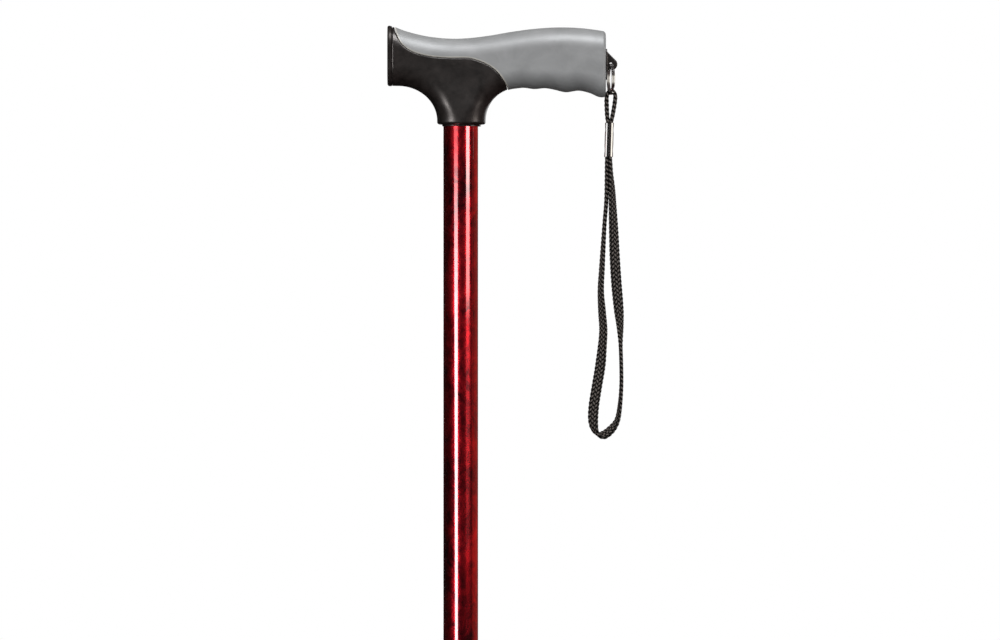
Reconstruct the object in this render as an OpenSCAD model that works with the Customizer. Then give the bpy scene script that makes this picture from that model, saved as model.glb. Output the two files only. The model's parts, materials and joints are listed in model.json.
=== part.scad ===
// Height-adjustable walking cane: derby handle with a soft grip, two telescoping tubes,
// a snap button, a screw-down lock collar, a rubber tip and a braided wrist strap.
// Millimetres, +Z up. The origin is the centre of the tip's foot, on the ground.
// The grip points along +X, the nose along -X, and the adjustment holes face -Y.

/* [Shaft] */
// Outside diameter of the upper tube
upper_od = 22.2; // [22:0.1:22.6]
// Outside diameter of the lower tube
lower_od = 19.05; // [18.8:0.05:19.1]
// Wall thickness of both tubes
tube_wall = 1.2; // [1.1:0.1:1.3]
// Length of upper tube below the handle
upper_length = 600; // [560:10:640]
// Depth of the upper tube in the handle's socket
socket_depth = 38; // [34:1:38]

/* [Height setting] */
// Number of adjustment holes
hole_count = 10; // [8:1:10]
// Distance between adjustment holes
hole_pitch = 25.4; // [25:0.1:26]
// Hole that the button stands in, counted from the lowest as 0
rest_hole = 3; // [0:1:7]
// Height of the snap button above the ground
button_z = 366; // [360:1:380]
// Diameter of the adjustment holes
hole_d = 7; // [6.8:0.1:7.2]

/* [Handle] */
// How far the nose reaches ahead of the shaft's axis
nose_reach = 46.7; // [45.7:0.1:47.7]
// How far the grip reaches behind the shaft's axis
grip_reach = 92.6; // [91.6:0.1:93]
// Thickness of the soft grip over the core
grip_skin = 2.6; // [2:0.1:3]
// Thickness of the nose cap's plate
nose_cap_t = 2.9; // [2.5:0.1:3.5]

/* [Lock collar] */
// Pitch of the collar's thread, its travel in one turn
thread_pitch = 3; // [3:0.5:4]
// Largest outside diameter of the collar
collar_od = 31; // [30.5:0.5:33]

/* [Tip] */
// Diameter of the tip's foot
foot_d = 38; // [35:1:42]
// Height of the rubber tip
tip_h = 46; // [42:1:50]

/* [Wrist strap] */
// Width of the flat braid
strap_w = 6.3; // [5.5:0.1:6.5]
// Thickness of the flat braid
strap_t = 1.7; // [1.5:0.1:1.8]
// Outside diameter of the split ring
ring_od = 20; // [19.8:0.1:20.4]

/* [Hidden] */

$fn = 64;
eps = 0.01;

// Heights of the main joints, from the ground up.
first_hole = 38.1;
tip_floor = 8;
washer_t = 1.5;
lower_tube_z = tip_floor + washer_t;
lower_tube_top = button_z + 40;
shaft_end_z = button_z - first_hole - rest_hole * hole_pitch;
handle_z = shaft_end_z + upper_length;

// Sizes that the tubes set.
upper_r = upper_od / 2;
upper_bore_r = upper_r - tube_wall;
lower_r = lower_od / 2;
lower_bore_r = lower_r - tube_wall;

// ---- Curves and lofts ----

// Slope at point i of a curve, from its neighbours.
function slope(p, i) =
    let (a = max(i - 1, 0), b = min(i + 1, len(p) - 1))
    (p[b][1] - p[a][1]) / (p[b][0] - p[a][0]);

// The stretch between two of a curve's points that holds x.
function stretch(p, x, i = 0) = (i >= len(p) - 2 || x <= p[i + 1][0]) ? i : stretch(p, x, i + 1);

// Height at x of the smooth curve through points [x, height].
function curve_at(p, x) =
    let (
        i = stretch(p, x),
        h = p[i + 1][0] - p[i][0],
        t = (x - p[i][0]) / h
    )
    (2 * t^3 - 3 * t^2 + 1) * p[i][1] + (t^3 - 2 * t^2 + t) * h * slope(p, i)
    + (3 * t^2 - 2 * t^3) * p[i + 1][1] + (t^3 - t^2) * h * slope(p, i + 1);

// Point at t (0 to 1) between p1 and p2 on the smooth path through four vectors.
function path_point(p0, p1, p2, p3, t) =
    0.5 * (2 * p1 + (p2 - p0) * t + (2 * p0 - 5 * p1 + 4 * p2 - p3) * t^2
    + (3 * p1 - p0 - 3 * p2 + p3) * t^3);

// A power that keeps the sign, for rounded-box outlines.
function signed_pow(v, e) = sign(v) * abs(v) ^ e;

function unit(v) = v / norm(v);

// Solid skin over rings of points; closed joins the last ring to the first.
module loft(rings, closed = false) {
    n = len(rings[0]);
    m = len(rings);
    sides = [
        for (i = [0:m - (closed ? 1 : 2)], j = [0:n - 1])
        let (k = (i + 1) % m, l = (j + 1) % n)
        each [[i * n + j, k * n + l, i * n + l], [i * n + j, k * n + j, k * n + l]]
    ];
    caps = closed ? [] : [
        [for (j = [0:n - 1]) j],
        [for (j = [n - 1:-1:0]) (m - 1) * n + j]
    ];
    polyhedron([for (r = rings) each r], concat(sides, caps), convexity = 10);
}

// Takes lofted shapes and their cuts together as one mesh; a resize to nothing changes no size.
module one_mesh() {
    resize([0, 0, 0]) children();
}

module tube(r_out, r_in, h) {
    difference() {
        cylinder(r = r_out, h = h);
        translate([0, 0, -eps]) cylinder(r = r_in, h = h + 2 * eps);
    }
}

// ---- Handle outline, in the handle's own frame: X from the shaft's axis, Z from the socket's mouth ----

ring_points = 28;
bar_step = 4.5;

// Side outline of the bar: its top line, its underside with finger grooves, and its half width.
bar_top = [
    [-nose_reach, 63.2], [-30, 57.8], [-3, 54.4], [26, 57.7], [48, 60.9], [65, 61.7], [grip_reach, 59]
];
bar_under = [
    [-nose_reach, 24.7], [-36, 24.3], [-16, 23.2], [12, 22.6], [30, 22.8], [39, 23.7],
    [47, 22.8], [55, 23.4], [66, 20.8], [76, 21.8], [88.5, 17.7], [grip_reach, 17.9]
];
bar_half_width = [
    [-nose_reach, 13.6], [-30, 11.9], [0, 12.5], [35, 13.6], [66, 14.6], [grip_reach, 13.4]
];
bar_squareness = 2.5;

// Line where the soft grip meets the black core, seen from the side.
parting_line = [
    [-nose_reach + nose_cap_t, 62.6], [-42, 58.6], [-37.4, 50.6], [-29, 44.5], [-13, 42.1],
    [2, 42.4], [13.5, 39.7], [24.1, 31.5], [29.4, 20]
];

function bar_ring(x, inset) =
    let (
        top = curve_at(bar_top, x),
        under = curve_at(bar_under, x),
        half_w = curve_at(bar_half_width, x) - inset,
        half_h = (top - under) / 2 - inset
    )
    [
        for (j = [0:ring_points - 1])
        let (a = 360 * j / ring_points)
        [
            x,
            half_w * signed_pow(cos(a), 2 / bar_squareness),
            (top + under) / 2 + half_h * signed_pow(sin(a), 2 / bar_squareness)
        ]
    ];

// A stretch of the bar with its two end edges rounded; skin shrinks it all round.
module bar(x0, x1, round0, round1, skin = 0) {
    start = [for (t = [0:30:90]) [x0 + round0 * (1 - cos(t)), skin + round0 * (1 - sin(t))]];
    finish = [for (t = [90:-30:0]) [x1 - round1 * (1 - cos(t)), skin + round1 * (1 - sin(t))]];
    span = (x1 - round1) - (x0 + round0);
    steps = ceil(span / bar_step);
    middle = [for (i = [1:steps - 1]) [x0 + round0 + span * i / steps, skin]];
    loft([for (s = concat(start, middle, finish)) bar_ring(s[0], s[1])]);
}

// The stem's outline is a quarter ellipse on each side, from the socket's rim to the bar.
stem_left = [-40, 25, 22.5];
stem_right = [36.2, -19.6, 20.8];
stem_start = 2.4;
stem_side_end = 24;
stem_top = 40;
stem_half_depth = [[0, 15.4], [10, 15], [20, 13.9], [30, 13], [stem_top, 12.6]];
stem_round = 1.6;

// Side of the stem at height z, for [centre, half length, height] of its quarter ellipse.
function stem_side(e, z) =
    e[0] + e[1] * cos(asin(min(max(z - stem_start, 0) / e[2], 0.97)));

// Above the fillets the sides draw in towards the tube, so that the stem fades into the bar.
function stem_end(e, z) =
    let (
        side = stem_side(e, min(z, stem_side_end)),
        t = max(z - stem_side_end, 0) / (stem_top - stem_side_end)
    )
    side + (sign(side) * 12.8 - side) * (1 - (1 - t)^2.6);

function stem_ring(z, inset) =
    let (
        left = stem_end(stem_left, z) + inset,
        right = stem_end(stem_right, z) - inset,
        half_depth = curve_at(stem_half_depth, z) - inset,
        squareness = 2 + 0.3 * min(z / stem_side_end, 1)
    )
    [
        for (j = [0:ring_points - 1])
        let (a = 360 * j / ring_points)
        [
            (left + right) / 2 + (right - left) / 2 * signed_pow(cos(a), 2 / squareness),
            half_depth * signed_pow(sin(a), 2 / squareness),
            z
        ]
    ];

module stem() {
    rim = [for (t = [0:30:90]) [stem_round * (1 - cos(t)), stem_round * (1 - sin(t))]];
    body = [for (z = [4:2:stem_top]) [z, 0]];
    loft([for (s = concat(rim, body)) stem_ring(s[0], s[1])]);
}

module handle_outer() {
    bar(-nose_reach + nose_cap_t, grip_reach, 0.4, 2.4);
    stem();
}

module grip_region() {
    reach = 150;
    n = len(parting_line);
    line = [
        for (i = [0:n - 2], t = [0:0.25:0.75])
        path_point(
            parting_line[max(i - 1, 0)], parting_line[i], parting_line[i + 1],
            parting_line[min(i + 2, n - 1)], t
        )
    ];
    translate([0, reach / 2, 0]) rotate([90, 0, 0]) linear_extrude(reach)
        polygon(concat(
            line,
            [[parting_line[n - 1][0], 0], [reach, 0], [reach, reach], [parting_line[0][0], reach]]
        ));
}

module grip_bed() {
    bar(-nose_reach + nose_cap_t, grip_reach - grip_skin, 0.4, 1.5, grip_skin);
}

// ---- Handle ----

cavity_d = 14;
cavity_z = 41;
cavity_end = -14;
lug_x = grip_reach + 3.8;
eye_x = grip_reach + 3.2;
lug_z = 38.4;
lug_stem_d = 8;
lug_stem_l = 18;
lug_t = 4;
lug_r = 3.7;
lug_eye_d = 3.1;
lug_flange_t = 0.9;
lug_fit = 0.02;

module along_x(x, z) {
    translate([x, 0, z]) rotate([0, 90, 0]) children();
}

module handle_core() {
    color([0.09, 0.09, 0.095]) translate([0, 0, handle_z]) difference() {
        one_mesh() union() {
            difference() {
                handle_outer();
                grip_region();
            }
            grip_bed();
        }
        translate([0, 0, -eps]) cylinder(r = upper_r, h = socket_depth + eps);
        along_x(-nose_reach, cavity_z) cylinder(d = cavity_d, h = nose_reach + cavity_end);
        along_x(grip_reach - lug_stem_l, lug_z) cylinder(d = lug_stem_d, h = lug_stem_l + eps);
    }
}

module soft_grip() {
    color([0.52, 0.53, 0.54]) translate([0, 0, handle_z]) difference() {
        one_mesh() difference() {
            intersection() {
                handle_outer();
                grip_region();
            }
            grip_bed();
        }
        along_x(grip_reach - 2 * grip_skin, lug_z) cylinder(d = lug_stem_d + 2 * lug_fit, h = 3 * grip_skin);
    }
}

module nose_cap() {
    plug_l = 8;
    color([0.07, 0.07, 0.075]) translate([0, 0, handle_z]) {
        bar(-nose_reach, -nose_reach + nose_cap_t, 1.3, 0.5);
        along_x(-nose_reach + nose_cap_t - 1, cavity_z) cylinder(d = cavity_d, h = plug_l + 1);
    }
}

module strap_lug() {
    flange = [10, 19.6];
    fin_top = 47.4;
    color([0.08, 0.08, 0.085]) translate([0, 0, handle_z]) {
        along_x(grip_reach - lug_stem_l, lug_z) cylinder(d = lug_stem_d, h = lug_stem_l + lug_flange_t / 2);
        translate([grip_reach + lug_fit, -flange[0] / 2, lug_z - flange[1] / 2])
            cube([lug_flange_t - lug_fit, flange[0], flange[1]]);
        difference() {
            translate([0, lug_t / 2, 0]) rotate([90, 0, 0]) linear_extrude(lug_t) hull() {
                translate([lug_x, lug_z]) circle(r = lug_r);
                translate([grip_reach + 0.2, lug_z - lug_r]) square([0.5, fin_top - lug_z + lug_r]);
            }
            translate([eye_x, lug_t, lug_z]) rotate([90, 0, 0]) cylinder(d = lug_eye_d, h = 2 * lug_t);
        }
    }
}

// ---- Shaft ----

// A hole through the near wall of a tube, facing -Y.
module side_hole(d, z) {
    translate([0, 0, z]) rotate([90, 0, 0]) cylinder(d = d, h = upper_od);
}

module upper_tube() {
    color([0.35, 0.03, 0.05]) difference() {
        translate([0, 0, shaft_end_z]) tube(upper_r, upper_bore_r, upper_length + socket_depth);
        for (i = [0:hole_count - 1]) side_hole(hole_d, shaft_end_z + first_hole + i * hole_pitch);
    }
}

button_d = 6.4;

module lower_tube() {
    color([0.72, 0.73, 0.75]) difference() {
        translate([0, 0, lower_tube_z]) tube(lower_r, lower_bore_r, lower_tube_top - lower_tube_z);
        side_hole(button_d + 0.4, button_z);
    }
}

// ---- Snap button, drawn pressed in: its spring pushes it out through the hole ----

button_flange_d = 9.4;
button_flange_t = 0.8;
button_stand = 2.4;
pressed_gap = 0.25;
button_face = upper_bore_r - pressed_gap;
flange_stop = sqrt(lower_bore_r^2 - (button_flange_d / 2)^2) - 0.1;
button_length = upper_r + button_stand - flange_stop;
button_base = button_face - button_length;

module snap_button() {
    dome = 1;
    r = button_d / 2;
    color([0.78, 0.79, 0.8]) translate([0, 0, button_z]) rotate([90, 0, 0]) rotate_extrude() polygon(concat(
        [
            [0, button_base - button_flange_t],
            [button_flange_d / 2, button_base - button_flange_t],
            [button_flange_d / 2, button_base],
            [r, button_base]
        ],
        [for (t = [0:15:90]) [r - dome * (1 - cos(t)), button_face - dome * (1 - sin(t))]],
        [[0, button_face]]
    ));
}

spring_t = 0.6;
spring_w = 6;

// A strip bent into a U: one arm carries the button, the other rests on the tube's far wall.
module button_spring() {
    front = -(button_base - button_flange_t) + spring_t;
    back = sqrt(lower_bore_r^2 - (spring_w / 2)^2) - 0.1;
    bend_r = (back - front + spring_t) / 2;
    arm = 26;
    color([0.6, 0.62, 0.65]) translate([-spring_w / 2, back - bend_r, button_z])
        rotate([90, 0, 90]) linear_extrude(spring_w) {
            for (side = [-bend_r, bend_r - spring_t])
                translate([side, -arm]) square([spring_t, arm + button_flange_d / 2]);
            translate([0, -arm]) difference() {
                circle(r = bend_r);
                circle(r = bend_r - spring_t);
                translate([-bend_r - 1, 0]) square([2 * bend_r + 2, bend_r + 1]);
            }
        }
}

// ---- Lock collar, in a frame with its Z at the upper tube's lower end ----

thread_r = 13.2;
thread_depth = 0.45;
thread_gap = 0.2;
bush_top = 22;
bush_rim = 6;
bush_mouth = -6;
bush_lip_r = lower_r + 0.3;
clamp_gap = 0.08;
clamp_top = -3.6;
clamp_shoulder = -6.4;
clamp_end = -9.6;
clamp_r = 11.9;
clamp_nose_r = 10.4;
collar_top = bush_top - bush_rim - 1;
collar_end = -17;

// A one-start thread: a circle whose centre winds round the axis once in each pitch.
module thread(r, z0, z1) {
    per_turn = 6;
    sides = 32;
    steps = ceil((z1 - z0) * per_turn / thread_pitch);
    loft([
        for (i = [0:steps])
        let (z = z0 + (z1 - z0) * i / steps, a = 360 * z / thread_pitch)
        [
            for (j = [0:sides - 1])
            let (b = 360 * j / sides)
            [thread_depth * cos(a) + r * cos(b), thread_depth * sin(a) + r * sin(b), z]
        ]
    ]);
}

module threaded_bush() {
    chamfer = 1;
    rim_r = collar_od / 2 - 0.6;
    color([0.08, 0.08, 0.085]) translate([0, 0, shaft_end_z]) difference() {
        union() {
            thread(thread_r, bush_mouth, bush_top - bush_rim + eps);
            translate([0, 0, bush_top - bush_rim]) cylinder(r = rim_r, h = bush_rim - chamfer);
            translate([0, 0, bush_top - chamfer]) cylinder(r1 = rim_r, r2 = rim_r - chamfer, h = chamfer);
        }
        cylinder(r = upper_r, h = bush_top + eps);
        translate([0, 0, bush_mouth - 1]) cylinder(r = bush_lip_r, h = 1 - bush_mouth + eps);
        translate([0, 0, bush_mouth - eps])
            cylinder(r1 = clamp_r + 0.3, r2 = bush_lip_r, h = clamp_top + 1.2 - bush_mouth);
    }
}

module clamp_ring() {
    slit = 2;
    color([0.85, 0.84, 0.8]) translate([0, 0, shaft_end_z]) difference() {
        rotate_extrude() polygon([
            [lower_r + clamp_gap, clamp_end], [clamp_r, clamp_end],
            [clamp_r, clamp_shoulder], [clamp_nose_r, clamp_top], [lower_r + clamp_gap, clamp_top]
        ]);
        translate([0, -slit / 2, clamp_end - 1]) cube([clamp_r + 1, slit, clamp_top - clamp_end + 2]);
    }
}

// The fluted and threaded sleeve of the collar, above its plain foot.
module collar_sleeve(z0) {
    flutes = 14;
    flute_r = 2.6;
    outer_r = collar_od / 2;
    one_mesh() difference() {
        rotate_extrude() polygon([
            [0, z0], [outer_r - 0.7, z0], [outer_r, z0 + 3],
            [outer_r, collar_top - 1.5], [outer_r - 1, collar_top], [0, collar_top]
        ]);
        for (i = [0:flutes - 1]) rotate(360 * i / flutes)
            translate([outer_r + flute_r - 0.9, 0, z0 + 3.5])
                cylinder(r = flute_r, h = collar_top - z0 - 7, $fn = 24);
        thread(thread_r + thread_gap, z0 - 1, collar_top + 1);
    }
}

module lock_collar() {
    sleeve_z = bush_mouth - 0.3;
    foot_r = collar_od / 2 - 0.7;
    pocket_r = clamp_r + 0.4;
    pocket_z = clamp_end - clamp_gap;
    color([0.08, 0.08, 0.085]) translate([0, 0, shaft_end_z]) {
        collar_sleeve(sleeve_z);
        rotate_extrude() polygon([
            [lower_r + 0.35, collar_end], [foot_r - 2.5, collar_end], [foot_r - 1, collar_end + 1.5],
            [foot_r, sleeve_z], [pocket_r, sleeve_z], [pocket_r, pocket_z], [lower_r + 0.35, pocket_z]
        ]);
    }
}

// ---- Tip ----

module rubber_tip() {
    neck_r = lower_r + 3.8;
    foot_r = foot_d / 2;
    groove = 1.1;
    land = 2.4;
    color([0.06, 0.06, 0.065]) difference() {
        rotate_extrude() polygon(concat(
            [[0, 0], [foot_r - 1.2, 0], [foot_r, 1.2], [foot_r, 5]],
            // The skirt curves in from the foot to the neck.
            [for (t = [0:15:75]) [foot_r - 1.5 - (foot_r - 1.5 - neck_r) * sin(t), 6.5 + 12 * (1 - cos(t))]],
            [for (z = [20, 27, 34]) each [
                [neck_r, z], [neck_r + 0.8, z + 0.8], [neck_r + 0.8, z + 2.2], [neck_r, z + 3]
            ]],
            [[neck_r, tip_h - 1.5], [neck_r - 1.2, tip_h], [0, tip_h]]
        ));
        translate([0, 0, tip_floor]) cylinder(r = lower_r, h = tip_h);
        // Ring grooves in the tread leave flat lands on the ground plane.
        for (r = [5.5:groove + land:foot_r - 3]) translate([0, 0, -eps]) tube(r + groove, r, groove);
    }
}

module tip_washer() {
    color([0.65, 0.66, 0.68]) translate([0, 0, tip_floor])
        tube(lower_r - 0.1, 3, washer_t);
}

// ---- Wrist strap, in the handle's frame ----

ring_wire = 1;
ring_mean_r = (ring_od - ring_wire) / 2;
ring_z = lug_z - ring_mean_r;
cord_top = ring_z - ring_mean_r + ring_wire / 2 + 1.4 + strap_t / 2;
crimp_x = eye_x - 1.15;
crimp_top = 1;
crimp_w = 5.6;
crimp_l = 21.6;
crimp_tilt = 0.6;
crimp_wall = 0.45;
strand_gap = 0.3;
half_pair = (strap_t + strand_gap) / 2;

// Two wound coils side by side, seen edge-on from the side.
module split_ring() {
    coil = 0.46 * ring_wire;
    color([0.8, 0.8, 0.82]) translate([eye_x, 0, handle_z + ring_z]) rotate([0, 90, 0])
        for (side = [-coil, coil]) translate([0, 0, side]) rotate_extrude()
            translate([ring_mean_r, 0]) circle(d = ring_wire);
}

// Rounded box outline for the flattened sleeve.
function rounded_box(w, h, r) = [
    for (c = [[1, 1, 0], [-1, 1, 90], [-1, -1, 180], [1, -1, 270]], t = [0:22.5:90])
    [c[0] * (w / 2 - r) + r * cos(c[2] + t), c[1] * (h / 2 - r) + r * sin(c[2] + t)]
];

module crimp_sleeve() {
    outer = [crimp_w, strap_w + 0.9 + 2 * crimp_wall];
    inner = outer - [2 * crimp_wall, 2 * crimp_wall];
    color([0.8, 0.8, 0.82]) translate([crimp_x, 0, handle_z + crimp_top - crimp_l / 2])
        rotate([0, atan(crimp_tilt / crimp_l), 0]) translate([0, 0, -crimp_l / 2])
            linear_extrude(crimp_l) difference() {
                polygon(rounded_box(outer[0], outer[1], 2));
                polygon(rounded_box(inner[0], inner[1], 2 - crimp_wall));
            }
}

// Point of the rear (1) or front (-1) strand in the sleeve, share of its length above its middle.
function in_sleeve(side, share) = [
    crimp_x + side * half_pair + crimp_tilt * share, 0,
    crimp_top - crimp_l / 2 + crimp_l * share, 5
];

// The strap's centre line as [x, y, z, turn]: turn 0 shows the strap's edge to the side, 90 its face.
// It runs from the small loop's top down the rear strand, round the big loop and up the front strand.
strap_path = [
    [eye_x + 0.2, 0, cord_top, 0],
    [eye_x + 2.5, 0, cord_top - 2.8, 0],
    [eye_x + 2.4, 0, cord_top - 8, 10],
    [eye_x + 1.2, 0, cord_top - 15.2, 7],
    in_sleeve(1, 0.46),
    in_sleeve(1, 0),
    in_sleeve(1, -0.46),
    [eye_x, -0.2, -30, 9],
    [eye_x + 0.7, -0.8, -41, 29],
    [eye_x + 1.2, -1.2, -54, 46],
    [eye_x + 1.8, -1.6, -68, 63],
    [eye_x + 2.5, -2, -85, 80],
    [eye_x + 3.6, -2, -102, 90],
    [eye_x + 4.9, -1.8, -116.5, 72],
    [eye_x + 5.9, -1, -129, 34],
    [eye_x + 6.3, 0, -142, 3],
    [eye_x + 6.7, 0.5, -155, 0],
    [eye_x + 6.7, 1, -167, -3],
    [eye_x + 5.8, 2, -179.5, -10],
    [eye_x + 4, 2.5, -189, -22],
    [eye_x - 0.2, 2.5, -195, -48],
    [eye_x - 5.2, 1, -198.3, -45],
    [eye_x - 9.2, -1, -196.8, 15],
    [eye_x - 11.2, -2, -190, 66],
    [eye_x - 10.9, -2, -180, 90],
    [eye_x - 8.9, -2, -167, 90],
    [eye_x - 6.8, -1.5, -154.5, 84],
    [eye_x - 5.5, -1, -142, 56],
    [eye_x - 4.8, -0.5, -131, 47],
    [eye_x - 5.6, 0, -119.5, 41],
    [eye_x - 6.4, 0, -106, 27],
    [eye_x - 5.7, 0, -92, 21],
    [eye_x - 4.9, 0, -78, 13],
    [eye_x - 4, 0, -63, 5],
    [eye_x - 2.9, 0, -49, 5],
    [eye_x - 2.5, 0, -35, 8],
    in_sleeve(-1, -0.46),
    in_sleeve(-1, 0),
    in_sleeve(-1, 0.46),
    [eye_x - 2.3, 0, cord_top - 15.2, 7],
    [eye_x - 2.4, 0, cord_top - 8, 8],
    [eye_x - 2.25, 0, cord_top - 2.8, 0]
];

function strap_at(i, t) =
    let (n = len(strap_path))
    path_point(
        strap_path[(i + n - 1) % n], strap_path[i % n],
        strap_path[(i + 1) % n], strap_path[(i + 2) % n], t
    );

function place(p) = [p[0], p[1], p[2]];

// The braid's section, as shares of half its width and half its thickness.
strap_corners = [
    [1, 0.35], [0.8, 1], [-0.8, 1], [-1, 0.35],
    [-1, -0.35], [-0.8, -1], [0.8, -1], [1, -0.35]
];

// Section of the braid at one point: across lies along its width, out is its face's normal.
function strap_ring(i, t) =
    let (
        p = strap_at(i, t),
        along = unit(place(strap_at(i, t + 0.01)) - place(strap_at(i, t - 0.01))),
        edge_on = unit(cross(along, [0, 1, 0])),
        side = cross(along, edge_on),
        out = edge_on * cos(p[3]) + side * sin(p[3]),
        across = cross(out, along)
    )
    [
        for (c = strap_corners)
        place(p) + across * c[0] * strap_w / 2 + out * c[1] * strap_t / 2
    ];

module wrist_strap() {
    color([0.07, 0.07, 0.075]) translate([0, 0, handle_z])
        loft([for (i = [0:len(strap_path) - 1], t = [0:0.25:0.75]) strap_ring(i, t)], closed = true);
}

handle_core();
soft_grip();
nose_cap();
strap_lug();
upper_tube();
threaded_bush();
clamp_ring();
lock_collar();
lower_tube();
snap_button();
button_spring();
rubber_tip();
tip_washer();
split_ring();
crimp_sleeve();
wrist_strap();
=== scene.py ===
"""Looks of a derby-handle walking cane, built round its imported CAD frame.

Shapes are worked out in millimetres. The handle's own frame has X from the shaft's axis and
Z from the mouth of the tube socket; lathed parts use heights above the ground.
"""

import json
import math

import bmesh
import bpy
import numpy as np
import openvdb
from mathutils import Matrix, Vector

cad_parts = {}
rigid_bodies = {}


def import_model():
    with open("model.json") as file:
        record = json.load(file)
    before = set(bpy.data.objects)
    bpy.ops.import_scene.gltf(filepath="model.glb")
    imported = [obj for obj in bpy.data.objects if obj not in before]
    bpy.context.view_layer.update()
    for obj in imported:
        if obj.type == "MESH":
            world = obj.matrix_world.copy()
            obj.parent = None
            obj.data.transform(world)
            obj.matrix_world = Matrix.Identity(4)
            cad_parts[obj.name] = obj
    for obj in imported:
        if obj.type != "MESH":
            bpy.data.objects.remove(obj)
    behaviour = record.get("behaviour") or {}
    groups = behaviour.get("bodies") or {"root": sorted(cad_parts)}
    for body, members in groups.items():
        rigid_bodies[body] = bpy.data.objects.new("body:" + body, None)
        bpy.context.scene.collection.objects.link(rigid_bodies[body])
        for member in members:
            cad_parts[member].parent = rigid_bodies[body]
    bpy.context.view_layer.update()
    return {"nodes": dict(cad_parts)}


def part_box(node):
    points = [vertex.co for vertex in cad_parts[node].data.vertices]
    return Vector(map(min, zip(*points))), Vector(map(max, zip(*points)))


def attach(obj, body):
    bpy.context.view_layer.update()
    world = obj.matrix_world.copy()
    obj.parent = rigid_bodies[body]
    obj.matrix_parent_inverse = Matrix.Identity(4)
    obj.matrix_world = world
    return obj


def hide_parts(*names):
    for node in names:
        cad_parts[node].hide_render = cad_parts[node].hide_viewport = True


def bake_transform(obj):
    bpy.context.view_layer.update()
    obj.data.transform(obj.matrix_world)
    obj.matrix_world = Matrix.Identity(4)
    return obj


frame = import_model()
MM = 0.001

# ---- Sizes read from the CAD frame, in millimetres ----


def box_mm(node):
    low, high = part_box(node)
    return low / MM, high / MM


CORE_LOW, _ = box_mm("handle_core")
_, GRIP_HIGH = box_mm("soft_grip")
CAP_LOW, CAP_HIGH = box_mm("nose_cap")
LUG_LOW, LUG_HIGH = box_mm("strap_lug")
RING_LOW, RING_HIGH = box_mm("split_ring")
SLEEVE_LOW, SLEEVE_HIGH = box_mm("crimp_sleeve")
_, UPPER_HIGH = box_mm("upper_tube")
_, LOWER_HIGH = box_mm("lower_tube")
BUSH_LOW, BUSH_HIGH = box_mm("threaded_bush")
COLLAR_LOW, COLLAR_HIGH = box_mm("lock_collar")
_, TIP_HIGH = box_mm("rubber_tip")

HANDLE_Z = CORE_LOW.z
NOSE_X = CAP_LOW.x
END_X = GRIP_HIGH.x
TUBE_R = UPPER_HIGH.x
LOWER_R = LOWER_HIGH.x
SOCKET_DEPTH = UPPER_HIGH.z - HANDLE_Z
EYE_X = (RING_LOW.x + RING_HIGH.x) / 2
RING_R = (RING_HIGH.z - RING_LOW.z) / 2
RING_Z = (RING_HIGH.z + RING_LOW.z) / 2 - HANDLE_Z
RING_WIRE = 1.0

# ---- Curves and fields ----


def smooth_curve(points):
    """A function through [x, value] points, smooth where they meet, held straight past the ends."""
    xs, ys = np.array(points, float).T
    slopes = np.gradient(ys, xs)

    def value(x):
        x = np.asarray(x, float)
        i = np.clip(np.searchsorted(xs, x) - 1, 0, len(xs) - 2)
        h = xs[i + 1] - xs[i]
        t = np.clip((x - xs[i]) / h, 0, 1)
        inside = (
            (2 * t**3 - 3 * t**2 + 1) * ys[i] + (t**3 - 2 * t**2 + t) * h * slopes[i]
            + (3 * t**2 - 2 * t**3) * ys[i + 1] + (t**3 - t**2) * h * slopes[i + 1]
        )
        past = np.maximum(x - xs[-1], 0) * slopes[-1] + np.minimum(x - xs[0], 0) * slopes[0]
        return inside + past

    return value


def between(a, b, c, d, count):
    """Evenly spread points from b up to c, on a smooth curve through all four."""
    t = (np.arange(count) / count)[:, None]
    return 0.5 * (2 * b + (c - a) * t + (2 * a - 5 * b + 4 * c - d) * t**2
                  + (3 * b - a - 3 * c + d) * t**3)


def smooth_line(points, step=0.3):
    """Points about a step apart along a smooth plane curve through the given ones."""
    p = np.array(points, float)
    p = np.vstack([2 * p[0] - p[1], p, 2 * p[-1] - p[-2]])
    out = []
    for a, b, c, d in zip(p, p[1:], p[2:], p[3:]):
        out.append(between(a, b, c, d, max(2, int(np.linalg.norm(c - b) / step))))
    return np.vstack(out + [p[-2:-1]])


def unit(vectors):
    """Each row scaled to length one."""
    return vectors / np.linalg.norm(vectors, axis=1)[:, None]


def oval_arc(x, z, reach_x, reach_z, turn):
    """Side-view points of an oval round (x, z) at the angles turn."""
    return np.stack([x + reach_x * np.cos(turn), z + reach_z * np.sin(turn)], axis=1)


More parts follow.
